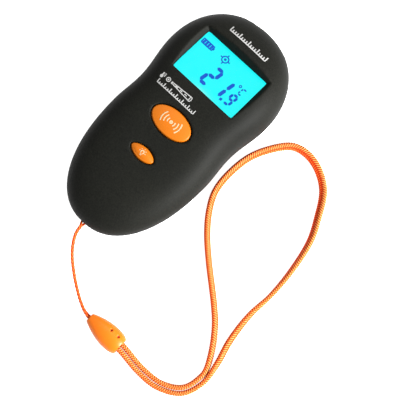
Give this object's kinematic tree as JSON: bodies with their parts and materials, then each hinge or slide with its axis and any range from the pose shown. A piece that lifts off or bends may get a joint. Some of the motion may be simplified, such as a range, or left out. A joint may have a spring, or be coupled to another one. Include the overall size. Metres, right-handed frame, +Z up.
{
  "type": "infrared thermometer",
  "caption": "Pear-shaped pocket infrared thermometer lying on its back, with a sunk backlit display, trigger and backlight buttons, battery cover and a beaded wrist strap.",
  "frame": {"origin": "centre of the case's flat base, on the table it lies on", "axes": "+Z up out of the display, +Y towards the sensor end, +X to the right of the display"},
  "size_m": [0.0969, 0.125, 0.0238],
  "materials": {
    "soft_touch_black": "soft-touch coating, fine speckled grain",
    "gloss_black": "satin moulded black",
    "inner_black": "moulded black",
    "inner_white": "moulded white",
    "infrared_lens": "translucent grey polyethylene Fresnel lens",
    "steel": "zinc plated",
    "brass": "turned",
    "board_green": "solder mask",
    "clear_acrylic": "clear",
    "lcd_cyan": "backlit cyan liquid crystal",
    "light_guide": "milky light guide",
    "contact_rubber": "carbon striped silicone",
    "button_orange": "satin moulded orange",
    "bead_orange": "glossy moulded orange",
    "strap_orange": "braided polyester",
    "cell_label": "printed plain sleeve",
    "lead_red": "insulated wire",
    "lead_black": "insulated wire"
  },
  "bodies": {
    "root": {"top_case": "soft_touch_black", "bottom_case": "soft_touch_black", "nose_bezel": "gloss_black", "lens_tube": "inner_black", "infrared_lens": "infrared_lens", "thermopile_sensor": "steel", "sensor_board": "board_green", "laser_module": "brass", "laser_lens": "clear_acrylic", "display_window": "clear_acrylic", "lcd_glass": "lcd_cyan", "backlight_panel": "light_guide", "contact_strip": "contact_rubber", "lcd_frame": "inner_white", "trigger_switch_body": "inner_black", "backlight_switch_body": "inner_black", "main_board": "board_green", "board_screw_1": "steel", "board_screw_2": "steel", "controller_chip": "inner_black", "amplifier_chip": "inner_black", "crystal": "steel", "capacitor": "inner_black", "case_screw_1": "steel", "case_screw_2": "steel", "case_screw_3": "steel", "case_screw_4": "steel", "battery_left": "cell_label", "battery_right": "cell_label", "positive_contact": "steel", "negative_contact": "steel", "nose_spring": "steel", "tail_spring": "steel", "bridge_plate": "steel", "laser_lead": "lead_red", "sensor_lead": "lead_black", "strap_pin": "steel"},
    "cover": {"battery_cover": "soft_touch_black"},
    "trigger": {"trigger_button": "button_orange"},
    "backlight": {"backlight_button": "button_orange"},
    "trigger_plunger": {"trigger_switch_plunger": "inner_white"},
    "backlight_plunger": {"backlight_switch_plunger": "inner_white"},
    "strap": {"strap_cord": "strap_orange", "bead_upper": "bead_orange", "bead_lower": "bead_orange", "crimp_sleeve": "steel", "strap_band": "strap_orange"}
  },
  "joints": [
    {"name": "trigger_press", "type": "slide", "parent": "root", "child": "trigger", "axis": [0, 0, -1], "range_m": [0, 0.0005], "stiffness_N_per_m": 1500},
    {"name": "trigger_switch_press", "type": "slide", "parent": "root", "child": "trigger_plunger", "axis": [0, 0, -1], "range_m": [0, 0.0005]},
    {"name": "backlight_press", "type": "slide", "parent": "root", "child": "backlight", "axis": [0, 0, -1], "range_m": [0, 0.0005], "stiffness_N_per_m": 1200},
    {"name": "backlight_switch_press", "type": "slide", "parent": "root", "child": "backlight_plunger", "axis": [0, 0, -1], "range_m": [0, 0.0005]},
    {"name": "cover_slide", "type": "slide", "parent": "root", "child": "cover", "axis": [0, -1, 0], "range_m": [0, 0.006]},
    {"name": "strap_swing", "type": "hinge", "parent": "root", "child": "strap", "pos_m": [0, -0.044, 0.0089], "axis": [0, 0, 1], "range_deg": [-28, 0]}
  ],
  "couplings": [
    {"joint": "trigger_switch_press", "follows": "trigger_press", "ratio": 1},
    {"joint": "backlight_switch_press", "follows": "backlight_press", "ratio": 1}
  ]
}
